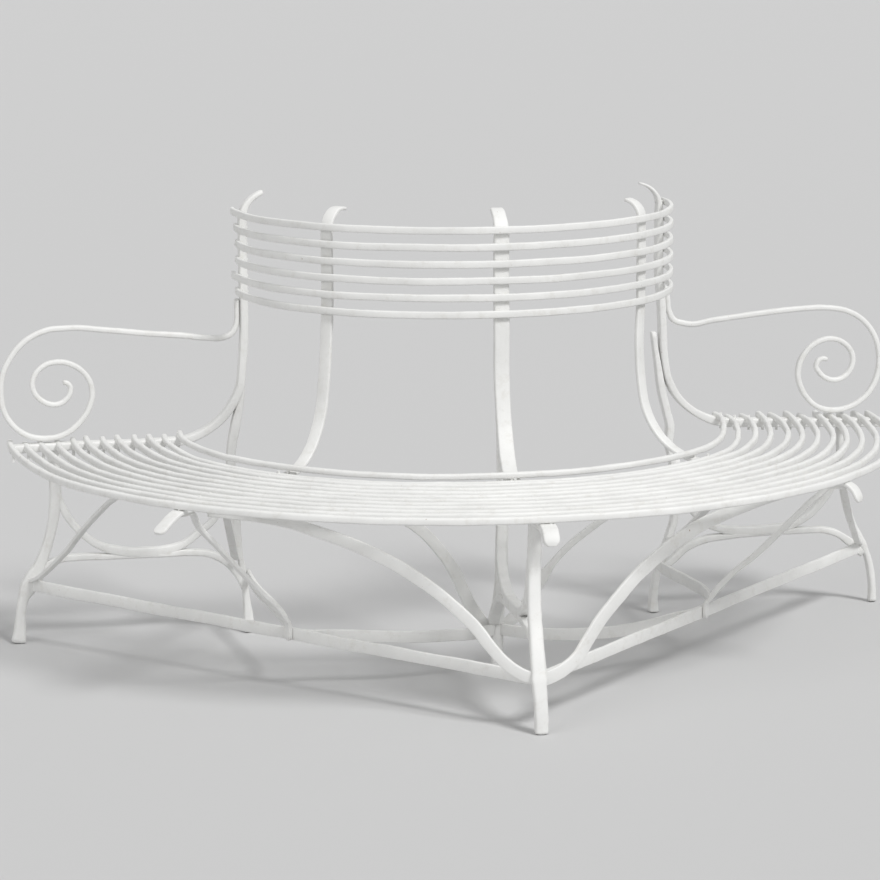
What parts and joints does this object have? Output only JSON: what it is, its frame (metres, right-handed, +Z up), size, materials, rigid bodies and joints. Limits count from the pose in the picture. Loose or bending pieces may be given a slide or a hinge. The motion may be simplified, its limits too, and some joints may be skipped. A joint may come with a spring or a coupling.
{
  "type": "tree bench",
  "caption": "Half-round slatted bench of bent strap iron for standing against a tree, with a railed back, scrolled armrests and curved leg braces.",
  "frame": {"origin": "centre of the bounding box's underside, on the ground", "axes": "+Z up, +X to the right of someone who looks at the bench from the front, -Y out of the front; the tree stands on the +Y side"},
  "size_m": [1.9906, 1.0842, 0.974],
  "materials": {
    "white_paint": "weathered white paint over forged iron, matt, with small chips and rust"
  },
  "bodies": {
    "root": {"seat_slat_01": "white_paint", "seat_slat_02": "white_paint", "seat_slat_03": "white_paint", "seat_slat_04": "white_paint", "seat_slat_05": "white_paint", "seat_slat_06": "white_paint", "seat_slat_07": "white_paint", "seat_slat_08": "white_paint", "seat_slat_09": "white_paint", "seat_slat_10": "white_paint", "seat_slat_11": "white_paint", "seat_slat_12": "white_paint", "back_rail_1": "white_paint", "back_rail_2": "white_paint", "back_rail_3": "white_paint", "back_rail_4": "white_paint", "back_rail_5": "white_paint", "back_rail_6": "white_paint", "post_centre": "white_paint", "post_left": "white_paint", "post_left_end": "white_paint", "post_right": "white_paint", "post_right_end": "white_paint", "arm_left": "white_paint", "arm_right": "white_paint", "front_leg_centre": "white_paint", "front_leg_left_end": "white_paint", "front_leg_right_end": "white_paint", "rear_leg_centre": "white_paint", "rear_leg_left_end": "white_paint", "rear_leg_right_end": "white_paint", "u_brace_centre": "white_paint", "u_brace_left_end": "white_paint", "u_brace_right_end": "white_paint", "arch_brace_centre": "white_paint", "arch_brace_left_end": "white_paint", "arch_brace_right_end": "white_paint", "front_stretcher_left": "white_paint", "front_stretcher_right": "white_paint", "rear_stretcher_left": "white_paint", "rear_stretcher_right": "white_paint", "front_arch_left": "white_paint", "front_arch_right": "white_paint", "end_arch_left": "white_paint", "end_arch_right": "white_paint", "rear_arch_left": "white_paint", "rear_arch_right": "white_paint", "rear_end_arch_left": "white_paint", "rear_end_arch_right": "white_paint", "strut_left": "white_paint", "strut_right": "white_paint", "slat_rivets": "white_paint", "rail_rivets": "white_paint"}
  },
  "joints": []
}
